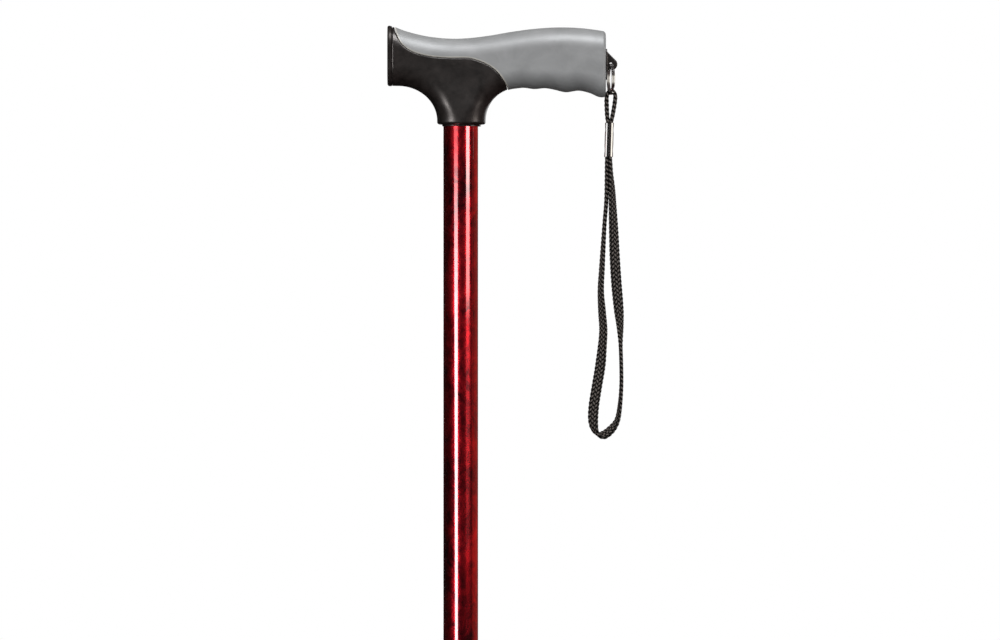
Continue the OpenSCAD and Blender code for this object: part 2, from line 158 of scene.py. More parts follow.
class Outline:
    """How far a point of the side view lies inside a closed outline, in millimetres."""

    def __init__(self, loop, low, high, step=0.3):
        self.low, self.step = np.array(low, float), step
        xs = np.arange(low[0], high[0] + step, step)
        zs = np.arange(low[1], high[1] + step, step)
        x, z = np.meshgrid(xs, zs, indexing="ij")
        nearest = np.full(x.shape, 1e9)
        inside = np.zeros(x.shape, bool)
        ends = np.roll(loop, -1, axis=0)
        for (ax, az), (bx, bz) in zip(loop, ends):
            dx, dz = bx - ax, bz - az
            t = np.clip(((x - ax) * dx + (z - az) * dz) / (dx * dx + dz * dz + 1e-12), 0, 1)
            np.minimum(nearest, (x - ax - t * dx)**2 + (z - az - t * dz)**2, out=nearest)
            if az != bz:
                inside ^= ((az > z) != (bz > z)) & (x < ax + (z - az) / dz * dx)
        self.depth = np.where(inside, 1, -1) * np.sqrt(nearest)

    def __call__(self, x, z):
        x, z = np.broadcast_arrays(x, z)
        i = np.clip((x - self.low[0]) / self.step, 0, self.depth.shape[0] - 1.001)
        k = np.clip((z - self.low[1]) / self.step, 0, self.depth.shape[1] - 1.001)
        i0, k0 = i.astype(int), k.astype(int)
        u, v = i - i0, k - k0
        d = self.depth
        return ((d[i0, k0] * (1 - u) + d[i0 + 1, k0] * u) * (1 - v)
                + (d[i0, k0 + 1] * (1 - u) + d[i0 + 1, k0 + 1] * u) * v)


def rounded_max(a, b, r):
    """Both fields at once, with the edge between them rounded to radius r."""
    return np.minimum(np.maximum(a, b), -r) + np.hypot(np.maximum(a + r, 0), np.maximum(b + r, 0))


def rounded_min(a, b, r):
    """Either field, with the corner between them filled to radius r."""
    return -rounded_max(-a, -b, r)


# ---- Meshes ----


def add_mesh(name, points, faces, material, body):
    """A smooth-shaded piece from points in millimetres, riding on a CAD body if one is named."""
    mesh = bpy.data.meshes.new(name)
    mesh.from_pydata((np.asarray(points) * MM).tolist(), [], [list(map(int, f)) for f in faces])
    mesh.validate()
    mesh.shade_smooth()
    piece = bpy.data.objects.new(name, mesh)
    bpy.context.scene.collection.objects.link(piece)
    mesh.materials.append(material)
    if body:
        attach(piece, body)
    return piece


def mark(piece, name, values):
    """Give each point a value that the piece's material can read by name."""
    attribute = piece.data.attributes.new(name, "FLOAT", "POINT")
    attribute.data.foreach_set("value", np.asarray(values, float))


def field_mesh(name, field, low, high, step, material, body):
    """A piece from the surface where field(x, y, z) is nought; its points are drawn onto it."""
    axes = [np.arange(a - 2 * step, b + 3 * step, step) for a, b in zip(low, high)]
    x, y, z = axes[0][:, None, None], axes[1][None, :, None], axes[2][None, None, :]
    values = np.clip(field(x, y, z), -3 * step, 3 * step).astype(np.float32)
    grid = openvdb.FloatGrid(3 * step)
    grid.copyFromArray(values)
    points, quads = grid.convertToQuads(0.0)
    origin = np.array([a[0] for a in axes])
    p = points.astype(float) * step + origin
    nudge = 0.02
    for _ in range(4):
        here = field(*p.T)
        slope = np.stack([
            field(*(p + shift).T) - field(*(p - shift).T) for shift in nudge * np.eye(3)
        ], axis=1) / (2 * nudge)
        move = -slope * (here / np.maximum((slope**2).sum(1), 0.05))[:, None]
        far = np.linalg.norm(move, axis=1)
        p += move * (np.minimum(far, 0.4 * step) / np.maximum(far, 1e-9))[:, None]
    q = p[quads]
    volume = (q[:, 0] * np.cross(q[:, 1], q[:, 2]) + q[:, 0] * np.cross(q[:, 2], q[:, 3])).sum()
    faces = quads if volume > 0 else quads[:, ::-1]
    return add_mesh(name, p + [0, 0, HANDLE_Z], faces, material, body)


def rounded_profile(corners):
    """A closed [radius, height] outline from [radius, height, rounding] corners."""
    arc_steps = 5
    out = []
    n = len(corners)
    for i, (r, z, rounding) in enumerate(corners):
        here = np.array([r, z], float)
        if rounding <= 0:
            out.append(here)
            continue
        to_last = np.array(corners[i - 1][:2], float) - here
        to_next = np.array(corners[(i + 1) % n][:2], float) - here
        a, b = to_last / np.linalg.norm(to_last), to_next / np.linalg.norm(to_next)
        half = math.acos(max(-1, min(1, float(a @ b)))) / 2
        shorter = min(np.linalg.norm(to_last), np.linalg.norm(to_next))
        reach = min(rounding / math.tan(half), 0.49 * shorter)
        for t in np.linspace(0, 1, arc_steps):
            out.append(here + (1 - t)**2 * reach * a + t**2 * reach * b)
    return np.array(out)


def lathe(name, profile, material, body, segments, shape=None):
    """Turns a closed [radius, height] outline; shape(r, z, angle) may move its points."""
    r, z = np.asarray(profile, float).T
    angle = np.arange(segments) / segments * 2 * math.pi
    rr, zz, aa = np.broadcast_arrays(r[None, :], z[None, :], angle[:, None])
    if shape:
        rr, zz = shape(rr, zz, aa)
    points = np.stack([rr * np.cos(aa), rr * np.sin(aa), zz], axis=2).reshape(-1, 3)
    corners = len(r)
    faces = []
    for i in range(segments):
        here, beside = i * corners, (i + 1) % segments * corners
        for j in range(corners):
            after = (j + 1) % corners
            if r[j] < 1e-6 and r[after] < 1e-6:
                continue
            faces.append((here + j, beside + j, beside + after, here + after))
    piece = add_mesh(name, points, faces, material, body)
    clean(piece)
    return piece


def clean(piece):
    """Joins doubled points and turns all faces outward."""
    work = bmesh.new()
    work.from_mesh(piece.data)
    bmesh.ops.remove_doubles(work, verts=work.verts, dist=1e-6)
    bmesh.ops.recalc_face_normals(work, faces=work.faces)
    work.to_mesh(piece.data)
    work.free()


def sweep(name, rings, material, body, closed=False):
    """Skin over an array of rings (stations, corners, 3), capped unless closed."""
    stations, corners, _ = rings.shape
    faces = ring_faces(stations, corners, 0, closed)
    return add_mesh(name, rings.reshape(-1, 3), faces, material, body)


def ring_faces(stations, corners, first, closed):
    """Faces between rings of points, of which the first point has the number first."""
    faces = []
    for i in range(stations if closed else stations - 1):
        here = first + i * corners
        ahead = first + (i + 1) % stations * corners
        for j in range(corners):
            after = (j + 1) % corners
            faces.append((here + j, here + after, ahead + after, ahead + j))
    if not closed:
        faces.append([first + j for j in range(corners)][::-1])
        faces.append([first + (stations - 1) * corners + j for j in range(corners)])
    return faces


# ---- Materials ----


class Nodes:
    """Short names for building one node material."""

    def __init__(self, name):
        self.material = bpy.data.materials.new(name)
        self.material.use_nodes = True
        self.tree = self.material.node_tree
        self.shader = self.tree.nodes["Principled BSDF"]
        self.place = self.add("ShaderNodeTexCoord").outputs["Object"]

    def add(self, kind, **settings):
        node = self.tree.nodes.new(kind)
        for key, value in settings.items():
            setattr(node, key, value)
        return node

    def join(self, source, target):
        self.tree.links.new(source, target)

    def set(self, **values):
        for key, value in values.items():
            self.shader.inputs[key.replace("_", " ")].default_value = value

    def noise(self, scale, detail=4.0, roughness=0.55, distortion=0.0, stretch=(1, 1, 1)):
        mapping = self.add("ShaderNodeMapping")
        mapping.inputs["Scale"].default_value = stretch
        self.join(self.place, mapping.inputs["Vector"])
        node = self.add("ShaderNodeTexNoise")
        self.join(mapping.outputs["Vector"], node.inputs["Vector"])
        for key, value in (("Scale", scale), ("Detail", detail), ("Roughness", roughness),
                           ("Distortion", distortion)):
            node.inputs[key].default_value = value
        return node.outputs["Fac"]

    def ramp(self, source, stops):
        node = self.add("ShaderNodeValToRGB")
        elements = node.color_ramp.elements
        while len(elements) < len(stops):
            elements.new(0.5)
        for element, (place, colour) in zip(elements, stops):
            element.position = place
            element.color = (*colour, 1)
        self.join(source, node.inputs["Fac"])
        return node.outputs["Color"]

    def marked(self, name):
        """The values given to a piece's points under a name."""
        return self.add("ShaderNodeAttribute", attribute_name=name).outputs["Fac"]

    def mix(self, factor, first, second):
        node = self.add("ShaderNodeMix", data_type="RGBA")
        self.join(factor, node.inputs["Factor"])
        for socket, value in ((node.inputs[6], first), (node.inputs[7], second)):
            if isinstance(value, tuple):
                socket.default_value = (*value, 1)
            else:
                self.join(value, socket)
        return node.outputs[2]

    def spread(self, source, low, high):
        """source, from 0 to 1, spread over low to high."""
        node = self.add("ShaderNodeMapRange")
        node.inputs["To Min"].default_value = low
        node.inputs["To Max"].default_value = high
        self.join(source, node.inputs["Value"])
        return node.outputs["Result"]

    def bump(self, *layers):
        """Bump from (height source, distance in metres, strength) layers."""
        last = None
        for source, distance, strength in layers:
            node = self.add("ShaderNodeBump")
            node.inputs["Distance"].default_value = distance
            node.inputs["Strength"].default_value = strength
            self.join(source, node.inputs["Height"])
            if last:
                self.join(last, node.inputs["Normal"])
            last = node.outputs["Normal"]
        self.join(last, self.shader.inputs["Normal"])


def marbled_lacquer():
    cloud_share, vein_share = 0.62, 0.45
    m = Nodes("marbled_lacquer")
    clouds = m.noise(38, 5, 0.62, 0.6, (1, 1, 0.55))
    veins = m.noise(150, 4, 0.65, 1.4, (1, 1, 0.6))
    scaled = m.add("ShaderNodeMath", operation="MULTIPLY")
    scaled.inputs[1].default_value = cloud_share
    m.join(clouds, scaled.inputs[0])
    mix = m.add("ShaderNodeMath", operation="MULTIPLY_ADD")
    mix.inputs[1].default_value = vein_share
    m.join(veins, mix.inputs[0])
    m.join(scaled.outputs[0], mix.inputs[2])
    colour = m.ramp(mix.outputs[0], [
        (0.41, (0.028, 0.0008, 0.002)), (0.49, (0.13, 0.003, 0.007)),
        (0.57, (0.32, 0.006, 0.012)), (0.66, (0.56, 0.014, 0.022))
    ])
    m.join(colour, m.shader.inputs["Base Color"])
    m.join(m.spread(m.noise(110, 2), 0.22, 0.31), m.shader.inputs["Roughness"])
    m.set(Metallic=0.98, Coat_Weight=1.0, Coat_Roughness=0.018, Coat_IOR=1.75)
    return m.material


def black_plastic():
    m = Nodes("black_plastic")
    mottle = m.noise(130, 5, 0.68, 0.4)
    m.join(m.ramp(mottle, [(0.32, (0.003, 0.0022, 0.0018)), (0.68, (0.017, 0.0135, 0.0125))]),
           m.shader.inputs["Base Color"])
    m.join(m.spread(m.noise(240, 3), 0.28, 0.38), m.shader.inputs["Roughness"])
    m.bump((m.noise(2600, 2), 0.00004, 0.35), (m.noise(700, 2), 0.00005, 0.12))
    m.set(Specular_IOR_Level=0.5, Specular_Tint=(1, 0.93, 0.9, 1))
    return m.material


def soft_grey():
    m = Nodes("soft_grey")
    smudge = m.noise(55, 4, 0.6, 0.5, (1, 1, 1.3))
    skin = m.ramp(smudge, [(0.3, (0.152, 0.155, 0.157)), (0.7, (0.2, 0.203, 0.205))])
    m.join(m.mix(m.marked("lip"), skin, (0.36, 0.34, 0.3)), m.shader.inputs["Base Color"])
    m.join(m.spread(m.noise(120, 4), 0.4, 0.56), m.shader.inputs["Roughness"])
    m.bump((m.noise(3000, 2), 0.00003, 0.25))
    return m.material


def satin_metal(name, colour, roughness, stretch):
    m = Nodes(name)
    grain = m.noise(900, 3, 0.6, 0, stretch)
    light = tuple(min(1, c * 1.12) for c in colour)
    m.join(m.ramp(grain, [(0.3, colour), (0.7, light)]), m.shader.inputs["Base Color"])
    m.join(m.spread(grain, roughness - 0.07, roughness + 0.07), m.shader.inputs["Roughness"])
    m.bump((grain, 0.00001, 0.25))
    m.set(Metallic=1.0)
    return m.material


def bright_chrome():
    m = Nodes("bright_chrome")
    m.join(m.ramp(m.noise(200, 2), [(0.3, (0.74, 0.73, 0.71)), (0.7, (0.84, 0.84, 0.84))]),
           m.shader.inputs["Base Color"])
    m.join(m.spread(m.noise(500, 3), 0.06, 0.16), m.shader.inputs["Roughness"])
    m.bump((m.noise(500, 2), 0.00001, 0.3))
    m.set(Metallic=1.0)
    return m.material


def moulded(name, dark, light, roughness, grain=1500):
    m = Nodes(name)
    m.join(m.ramp(m.noise(90, 3), [(0.3, dark), (0.7, light)]), m.shader.inputs["Base Color"])
    m.join(m.spread(m.noise(300, 3), roughness - 0.06, roughness + 0.06), m.shader.inputs["Roughness"])
    m.bump((m.noise(grain, 3), 0.00005, 0.3))
    return m.material


def braid_yarn():
    m = Nodes("braid_yarn")
    # Painted light set by each point's height on the weave: painted shade where a yarn dips under, a
    # painted highlight on its crown.
    crown = m.ramp(m.marked("crown"), [
        (0.55, (0.0015, 0.0013, 0.0012)), (0.8, (0.006, 0.005, 0.0045)), (0.99, (0.15, 0.128, 0.115))
    ])
    fibres = m.noise(5200, 2, 0.6, 0.4, (1, 1, 0.22))
    worn = m.ramp(fibres, [(0.3, (0.55, 0.55, 0.55)), (0.7, (1, 1, 1))])
    shade = m.add("ShaderNodeMix", data_type="RGBA", blend_type="MULTIPLY")
    shade.inputs["Factor"].default_value = 1
    m.join(crown, shade.inputs[6])
    m.join(worn, shade.inputs[7])
    m.join(shade.outputs[2], m.shader.inputs["Base Color"])
    m.join(m.spread(fibres, 0.34, 0.5), m.shader.inputs["Roughness"])
    m.bump((fibres, 0.00005, 0.4))
    m.set(Specular_IOR_Level=0.2)
    return m.material


LACQUER = marbled_lacquer()
BLACK = black_plastic()
GREY = soft_grey()
CHROME = bright_chrome()
YARN = braid_yarn()
TUBE_METAL = satin_metal("satin_aluminium", (0.5, 0.505, 0.515), 0.3, (1, 1, 0.03))
STEEL = satin_metal("plated_steel", (0.5, 0.5, 0.5), 0.24, (1, 1, 1))
RUBBER = moulded("tip_rubber", (0.010, 0.010, 0.010), (0.02, 0.0195, 0.019), 0.72, 900)
COLLAR_BLACK = moulded("collar_plastic", (0.012, 0.012, 0.0125), (0.02, 0.02, 0.02), 0.38)
ACETAL = moulded("white_acetal", (0.62, 0.61, 0.57), (0.72, 0.71, 0.67), 0.35)

# ---- Handle ----

# Side outline of the bar, as heights along X, and its half width.
BAR_TOP = smooth_curve([
    [NOSE_X, 63.2], [-42.2, 62], [-38.4, 60.4], [-30.7, 58], [-23, 56.2], [-15.4, 55.1],
    [-3, 54.4], [6.3, 54.9], [19, 56.5], [33, 58.9], [48.4, 60.9], [63.7, 61.7],
    [79, 61], [END_X, 59.1]
])
BAR_UNDER = smooth_curve([
    [NOSE_X, 24.7], [-40, 24.6], [34, 23.1], [40, 23.7], [47, 22.9], [54.2, 23.4],
    [60, 22.4], [66.5, 20.9], [76, 21.8], [83, 20.1], [88.5, 17.8], [END_X, 17.6]
])
HALF_WIDTH = smooth_curve([
    [NOSE_X, 13.6], [-40, 12.6], [-26, 11.9], [0, 12.4], [34, 13.6], [64, 14.6], [80, 14.4],
    [END_X, 13.3]
])
# What the stem adds to the half width, by height above the tube socket's mouth.
STEM_SWELL = smooth_curve([[-5, 3], [0, 3], [8, 2.6], [18, 1.4], [28, 0.4], [36, 0], [70, 0]])
# Quarter ovals that carry the bar down to the tube, as their middle's X and Z and their reaches.
LEFT_FILLET = (-40, 2.3, 25, 22.3)
RIGHT_FILLET = (36.2, 2.5, -20.1, 20.7)
RIGHT_FILLET_END = 34


def handle_outline():
    """The side view of the whole handle, run on past the nose, the grip's end and the tube."""
    reach = 20
    left_x = np.arange(NOSE_X - reach, LEFT_FILLET[0], 0.5)
    turn = np.radians(np.linspace(90, 0, 90))
    left = oval_arc(*LEFT_FILLET, turn)
    right = oval_arc(*RIGHT_FILLET, turn[::-1])
    right = right[right[:, 0] < RIGHT_FILLET_END]
    under_x = np.arange(RIGHT_FILLET_END + 0.2, END_X + reach, 0.3)
    top_x = np.arange(END_X + reach, NOSE_X - reach, -0.3)
    return np.vstack([
        np.stack([left_x, BAR_UNDER(left_x)], axis=1),
        left,
        [[left[-1, 0], -reach], [right[0, 0], -reach]],
        right,
        np.stack([under_x, BAR_UNDER(under_x)], axis=1),
        np.stack([top_x, BAR_TOP(top_x)], axis=1),
    ])


# Line where the grey grip meets the black core, from above the nose down to the stem.
PARTING = smooth_line([
    [-42.7, 68], [-41.9, 60.6], [-39.6, 54.2], [-36.4, 49.9], [-30.7, 46.1], [-24.4, 44.1],
    [-16, 42.6], [-6, 42.1], [4.5, 42], [10.6, 40.6], [16.5, 38.2], [22.4, 34.1],
    [27.1, 28.3], [29.9, 22.6], [32.2, 14]
])
FAR = 200
FIELD_LOW, FIELD_HIGH = (NOSE_X - 4, -4), (END_X + 10, 68)
INSIDE = Outline(handle_outline(), FIELD_LOW, FIELD_HIGH)
# The grip's side of the parting line, out to well beyond the handle.
GRIP_REGION = np.vstack([PARTING, [[FAR, PARTING[-1, 1]], [FAR, FAR], [PARTING[0, 0], FAR]]])
GRIP_SIDE = Outline(GRIP_REGION, FIELD_LOW, FIELD_HIGH)

EDGE_R = 12.2  # how far the rounding of the bar's edges reaches in from the side outline
GRIP_PROUD = 0.3  # how far the grip stands out from the core
BED_DEPTH = 2.6  # how deep the core's bed lies under the handle's outer surface
SEAM = 0.12  # half the gap between grip and core
FIT = 0.05  # the gap round plugs and in sockets


def handle_field(x, y, z):
    """The handle's whole outer surface: thick in the middle, rounded towards the side outline."""
    mouth_high = 13
    mouth_extra = 3.4
    stem_x, stem_reach = 0.5, 24
    power = 2.15
    mouth = np.clip((mouth_high - z) / mouth_high, 0, 1)
    edge = EDGE_R + mouth_extra * mouth**2 * (3 - 2 * mouth)
    t = np.clip(1 - INSIDE(x, z) / edge, 0, 3)
    wide = HALF_WIDTH(x) + STEM_SWELL(z) * np.exp(-((x - stem_x) / stem_reach)**2)
    u = np.abs(y) / wide
    return ((t**power + u**power)**(1 / power) - 1) * 0.9 * wide


def plug(x, y, z, centre_z, radius, x0, x1):
    """A round bar along X between x0 and x1."""
    across = np.hypot(y, z - centre_z) - radius
    along = np.maximum(x0 - x, x - x1)
    return np.maximum(across, along)


CAVITY_Z = 41
CAVITY_R = 7
CAVITY_END = -14
EYE_Z = RING_Z + RING_R - RING_WIRE / 2
LUG_STEM_R = 4
LUG_HOLE_DEPTH = 18


def lug_hole(x, y, z):
    """The round hole behind the lug, through the grip and into the core."""
    return plug(x, y, z, EYE_Z, LUG_STEM_R + FIT, END_X - LUG_HOLE_DEPTH, END_X + 1)


def core_field(x, y, z):
    """The black core: what shows below the parting line, and its bed under the grip."""
    outer = handle_field(x, y, z)
    face = CORE_LOW.x + FIT - x
    # The front face's edge is sharp at the bottom and softer higher up.
    face_rounding = 0.3 + 0.7 * np.clip((z - 27) / 10, 0, 1)
    black = rounded_max(outer, GRIP_SIDE(x, z) + SEAM, 0.35)
    black = rounded_max(black, face, face_rounding)
    black = rounded_max(black, -z, 1.5)
    depth = BED_DEPTH + 2 * FIT
    bed = np.maximum(outer + depth, np.maximum(face, x - END_X + depth))
    socket = np.maximum(np.hypot(x, y) - TUBE_R - FIT, z - SOCKET_DEPTH)
    hollow = plug(x, y, z, CAVITY_Z, CAVITY_R + FIT, NOSE_X - 1, CAVITY_END)
    solid = np.minimum(black, bed)
    return np.maximum(np.maximum(solid, -socket), np.maximum(-hollow, -lug_hole(x, y, z)))


def grip_field(x, y, z):
    """The grey grip: a thick skin above the parting line, closed over the rear end."""
    outer = handle_field(x, y, z)
    skin = rounded_max(outer - GRIP_PROUD, SEAM - GRIP_SIDE(x, z), 0.3)
    skin = rounded_max(skin, x - END_X, 2.0)
    skin = np.maximum(skin, CORE_LOW.x + SEAM - x)
    bed = np.maximum(outer + BED_DEPTH, x - END_X + BED_DEPTH)
    return np.maximum(np.maximum(skin, -bed), -lug_hole(x, y, z))


def cap_field(x, y, z):
    """The nose's front plate with its round plug."""
    proud = 0.2
    outer = handle_field(x, y, z) - proud
    plate = rounded_max(rounded_max(outer, NOSE_X - x, 1.4), x - CORE_LOW.x + 0.03, 0.3)
    return np.minimum(plate, plug(x, y, z, CAVITY_Z, CAVITY_R - FIT, NOSE_X + 1, CAP_HIGH.x))


def build_handle():
    step, cap_step = 0.53, 0.25
    core = field_mesh("handle_core_body", core_field, (CORE_LOW.x, -16, 0), (END_X - 2, 16, 62), step,
                      BLACK, "upper_shaft")
    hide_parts("handle_core")
    grip = field_mesh("soft_grip_skin", grip_field, (CORE_LOW.x, -16, 15), (END_X, 16, 63), step,
                      GREY, "upper_shaft")
    # A paler lip follows the grip's edge along the parting line.
    lip_middle, lip_half = 0.4, 0.6
    spots = np.array([v.co for v in grip.data.vertices]) / MM
    from_parting = GRIP_SIDE(spots[:, 0], spots[:, 2] - HANDLE_Z)
    mark(grip, "lip", np.clip(1.1 - np.abs(from_parting - lip_middle) / lip_half, 0, 1))
    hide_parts("soft_grip")
    cap = field_mesh("nose_cap_plate", cap_field, (NOSE_X, -15, 23), (CAP_HIGH.x, 15, 65), cap_step,
                     BLACK, "upper_shaft")
    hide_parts("nose_cap")


# ---- Strap lug, split ring, strap and sleeve ----

LUG_FACE = END_X
LUG_PLATE_T = 0.9
LUG_HALF_T = 2
LUG_EYE_R = 1.12
LUG_BURIED = 0.1
HOOK_R = 3.7
HOOK_X = LUG_FACE + HOOK_R


def lug_outline():
    """The side view of the lug's fin: a straight top, a round nose and a hollow foot."""
    turn = np.radians(np.linspace(48, -76, 40))
    nose = oval_arc(HOOK_X, EYE_Z, HOOK_R, HOOK_R, turn)
    back = LUG_FACE - 0.4
    foot = smooth_line([
        [HOOK_X - 0.9, EYE_Z - 3], [HOOK_X - 2.2, EYE_Z - 4.6], [HOOK_X - 2.7, EYE_Z - 7.6]
    ])
    return np.vstack([[[back, LUG_HIGH.z - HANDLE_Z - 0.4]], nose, foot, [[back, EYE_Z - 8.8]]])


LUG_SIDE = Outline(lug_outline(), (LUG_FACE - 4, EYE_Z - 13), (LUG_FACE + 12, EYE_Z + 13), 0.1)


def lug_field(x, y, z):
    """A flat fin with the ring's eye, on a plate against the grip's end and a round stem in it."""
    middle = (LUG_LOW.z + LUG_HIGH.z) / 2 - HANDLE_Z
    half_high = (LUG_HIGH.z - LUG_LOW.z) / 2
    back = LUG_FACE - LUG_BURIED - x
    plate = rounded_max(
        rounded_max(np.abs(y) - LUG_HIGH.y, np.abs(z - middle) - half_high, 2.2),
        np.maximum(x - LUG_FACE - LUG_PLATE_T, back), 0.35)
    fin = rounded_max(-LUG_SIDE(x, z), np.abs(y) - LUG_HALF_T, 0.7)
    fin = np.maximum(fin, back)
    stem = plug(x, y, z, EYE_Z, LUG_STEM_R - FIT, LUG_LOW.x, LUG_FACE + 0.2)
    solid = np.minimum(rounded_min(plate, fin, 0.5), stem)
    eye = np.hypot(x - EYE_X, z - EYE_Z) - LUG_EYE_R
    return rounded_max(solid, -eye, 0.35)


def build_lug():
    step, half_y, half_z = 0.2, 5.2, 10
    lug = field_mesh("strap_lug_eye", lug_field, (LUG_LOW.x, -half_y, EYE_Z - half_z),
                     (LUG_HIGH.x, half_y, EYE_Z + half_z), step, BLACK, "upper_shaft")
    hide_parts("strap_lug")


def tube_rings(path, normals, radius_a, radius_b, corners):
    """Oval rings round a path: radius_a along each normal, radius_b across it."""
    along = unit(np.gradient(path, axis=0))
    side = unit(np.cross(along, normals))
    turn = np.arange(corners) / corners * 2 * math.pi
    return (path[:, None, :]
            + normals[:, None, :] * (radius_a * np.cos(turn))[None, :, None]
            + side[:, None, :] * (radius_b * np.sin(turn))[None, :, None])


def build_split_ring():
    """Two turns of one wire, side by side, with a short step from one coil to the other."""
    wire_r = RING_WIRE / 2 + 0.1
    coil_half = 0.56
    yaw = math.radians(9)
    step_at, step_half = 2 * math.pi, 0.3
    top_at = 2.3
    turns = np.linspace(math.radians(-8), 4 * math.pi - math.radians(20), 340)
    step = np.clip((turns - step_at) / step_half, -1, 1)
    shift = coil_half * np.sin(step * math.pi / 2)
    across = np.array([math.cos(yaw), math.sin(yaw), 0])
    near = np.array([-math.sin(yaw), math.cos(yaw), 0])
    outward = np.sin(turns - top_at)[:, None] * near + np.cos(turns - top_at)[:, None] * [0, 0, 1]
    path = outward * (RING_R - RING_WIRE / 2) + shift[:, None] * across + [EYE_X, 0, RING_Z + HANDLE_Z]
    ring = sweep("split_ring_coil", tube_rings(path, outward, wire_r, wire_r * 0.92, 14), CHROME,
                 "split_ring")
    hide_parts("split_ring")


STRAP_W = 7.0
STRAP_T = 2.6
SLEEVE_TOP = SLEEVE_HIGH.z - HANDLE_Z
SLEEVE_L = SLEEVE_HIGH.z - SLEEVE_LOW.z
SLEEVE_X = (SLEEVE_LOW.x + SLEEVE_HIGH.x) / 2
LEAN = 0.6
ARCH = RING_LOW.z - HANDLE_Z + RING_WIRE + 0.7 + STRAP_T / 2
STRAND_APART = 1


def in_sleeve(side, share):
    """Rear (1) or front (-1) strand in the sleeve, a share of its length above its middle."""
    x = SLEEVE_X + side * STRAND_APART + LEAN * share
    return [x, 0, SLEEVE_TOP - SLEEVE_L / 2 + SLEEVE_L * share, 5]


# Centre line of the braid in the handle's frame, as [x, y, z, turn]: turn 0 shows its edge to the
# side and 90 its face. It goes down the rear strand, round the big loop and up the front one.
STRAP_PATH = [
    [EYE_X + 0.2, 0, ARCH, 0], [EYE_X + 2.7, 0, ARCH - 2.8, 3], [EYE_X + 2.5, 0, ARCH - 8, 7],
    [EYE_X + 1.3, 0, ARCH - 15.2, 6],
    in_sleeve(1, 0.46), in_sleeve(1, 0), in_sleeve(1, -0.46),
    [EYE_X, -0.2, -30, 9], [EYE_X + 0.7, -0.8, -41, 29], [EYE_X + 1.2, -1.2, -54, 46],
    [EYE_X + 1.8, -1.6, -68, 63], [EYE_X + 2.5, -2, -85, 80], [EYE_X + 3.6, -2, -102, 90],
    [EYE_X + 4.9, -1.8, -116.5, 72], [EYE_X + 5.9, -1, -129, 34], [EYE_X + 6.3, 0, -142, 3],
    [EYE_X + 6.7, 0.5, -155, 0], [EYE_X + 6.7, 1, -167, -3], [EYE_X + 5.8, 2, -179.5, -10],
    [EYE_X + 4, 2.5, -189, -22], [EYE_X - 0.2, 2.5, -195, -48], [EYE_X - 5.2, 1, -198.3, -45],
    [EYE_X - 9.2, -1, -196.8, 15], [EYE_X - 11.2, -2, -190, 66], [EYE_X - 10.9, -2, -180, 90],
    [EYE_X - 8.9, -2, -167, 90], [EYE_X - 6.8, -1.5, -154.5, 84], [EYE_X - 5.5, -1, -142, 56],
    [EYE_X - 4.8, -0.5, -131, 47], [EYE_X - 5.6, 0, -119.5, 41], [EYE_X - 6.4, 0, -106, 27],
    [EYE_X - 5.7, 0, -92, 21], [EYE_X - 4.9, 0, -78, 13], [EYE_X - 4, 0, -63, 5],
    [EYE_X - 2.9, 0, -49, 5], [EYE_X - 2.5, 0, -35, 8],
    in_sleeve(-1, -0.46), in_sleeve(-1, 0), in_sleeve(-1, 0.46),
    [EYE_X - 2.4, 0, ARCH - 15.2, 6], [EYE_X - 2.7, 0, ARCH - 8, 7], [EYE_X - 2.35, 0, ARCH - 2.8, 3],
]


def strap_stations(spacing):
    """Even stations on the closed strap: places, directions across and out, and its length."""
    control = np.array(STRAP_PATH, float)
    n = len(control)
    fine = np.vstack([between(*(control[(i + k) % n] for k in (-1, 0, 1, 2)), 40) for i in range(n)])
    loop = np.vstack([fine, fine[:1]])
    length = np.concatenate([[0], np.cumsum(np.linalg.norm(np.diff(loop[:, :3], axis=0), axis=1))])
    count = int(length[-1] / spacing)
    at = np.arange(count) / count * length[-1]
    even = np.stack([np.interp(at, length, loop[:, k]) for k in range(4)], axis=1)
    place = even[:, :3]
    along = unit(np.roll(place, -1, axis=0) - np.roll(place, 1, axis=0))
    edge_on = unit(np.cross(along, [0, 1, 0]))
    side = np.cross(along, edge_on)
    turn = np.radians(even[:, 3])[:, None]
    out = edge_on * np.cos(turn) + side * np.sin(turn)
    across = np.cross(out, along)
    return place, across, out, length[-1]


def stadium(share, straight, radius):
    """Point and outward normal at a share (0 to 1) of the way round a flattened tube's section."""
    total = 2 * straight + 2 * math.pi * radius
    s = (share % 1) * total
    half = straight / 2
    u, v = np.zeros_like(s), np.zeros_like(s)
    nu, nv = np.zeros_like(s), np.zeros_like(s)
    bend = math.pi * radius
    top = s < straight
    u[top], v[top], nv[top] = half - s[top], radius, 1
    left = (s >= straight) & (s < straight + bend)
    a = math.pi / 2 + (s[left] - straight) / radius
    nu[left], nv[left] = np.cos(a), np.sin(a)
    u[left], v[left] = -half + radius * nu[left], radius * nv[left]
    under = (s >= straight + bend) & (s < 2 * straight + bend)
    u[under], v[under], nv[under] = s[under] - straight - bend - half, -radius, -1
    right = s >= 2 * straight + bend
    a = -math.pi / 2 + (s[right] - 2 * straight - bend) / radius
    nu[right], nv[right] = np.cos(a), np.sin(a)
    u[right], v[right] = half + radius * nu[right], radius * nv[right]
    return u, v, nu, nv


